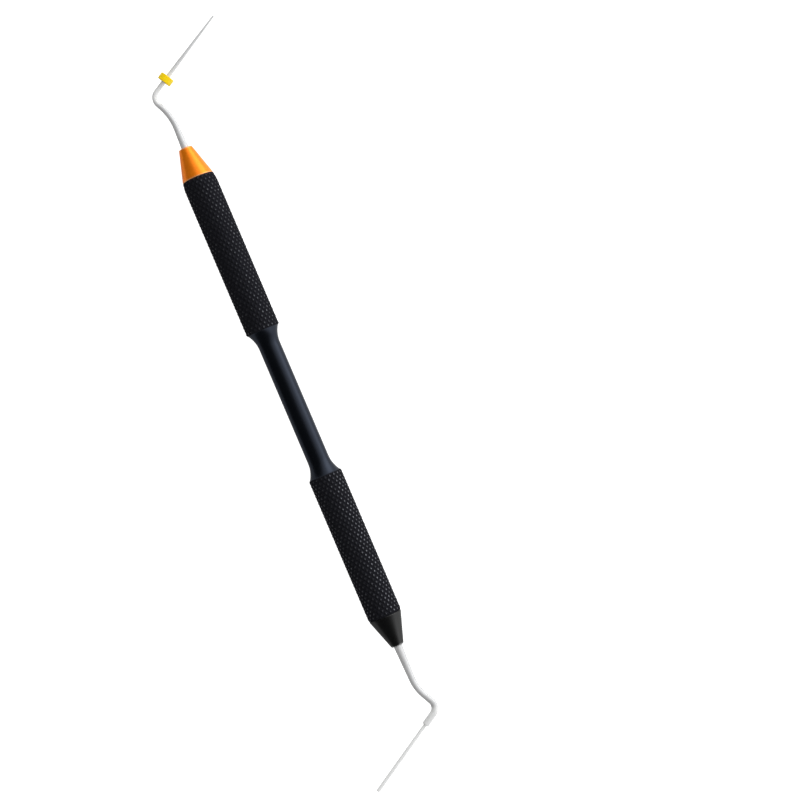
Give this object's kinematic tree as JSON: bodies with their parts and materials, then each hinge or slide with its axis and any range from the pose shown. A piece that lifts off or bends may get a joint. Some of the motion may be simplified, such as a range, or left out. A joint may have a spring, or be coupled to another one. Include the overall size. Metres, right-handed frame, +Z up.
{
  "type": "root canal spreader and plugger",
  "caption": "Double-ended hand instrument: black knurled handle, orange and black nose cones, angled tapered spreader with a sliding stop, and angled flat-ended plugger.",
  "frame": {"origin": "middle of the footprint, on the plane the grips lie on", "axes": "+X along the handle towards the orange cone and the spreader, +Z up, away from the surface it lies on; both working ends are bent in the horizontal plane through the handle's axis, the spreader's point towards -Y and the plugger's end towards +Y"},
  "size_m": [0.1716, 0.034, 0.0077],
  "materials": {
    "handle_black": "black anodised, satin, with knurled grips",
    "cone_orange": "orange anodised, satin",
    "cone_black": "black anodised, satin",
    "shank_steel": "satin stainless steel",
    "plugger_wire": "satin nickel-titanium wire",
    "stop_yellow": "smooth silicone rubber"
  },
  "bodies": {
    "instrument": {"handle": "handle_black", "spreader_cone": "cone_orange", "spreader": "shank_steel", "plugger_cone": "cone_black", "plugger_shank": "shank_steel", "plugger_tip": "plugger_wire"},
    "stop": {"depth_stop": "stop_yellow"}
  },
  "joints": [
    {"name": "stop_slide", "type": "slide", "parent": "instrument", "child": "stop", "axis": [0.5, -0.866, 0], "range_m": [-0.0023, 0.0158]}
  ]
}
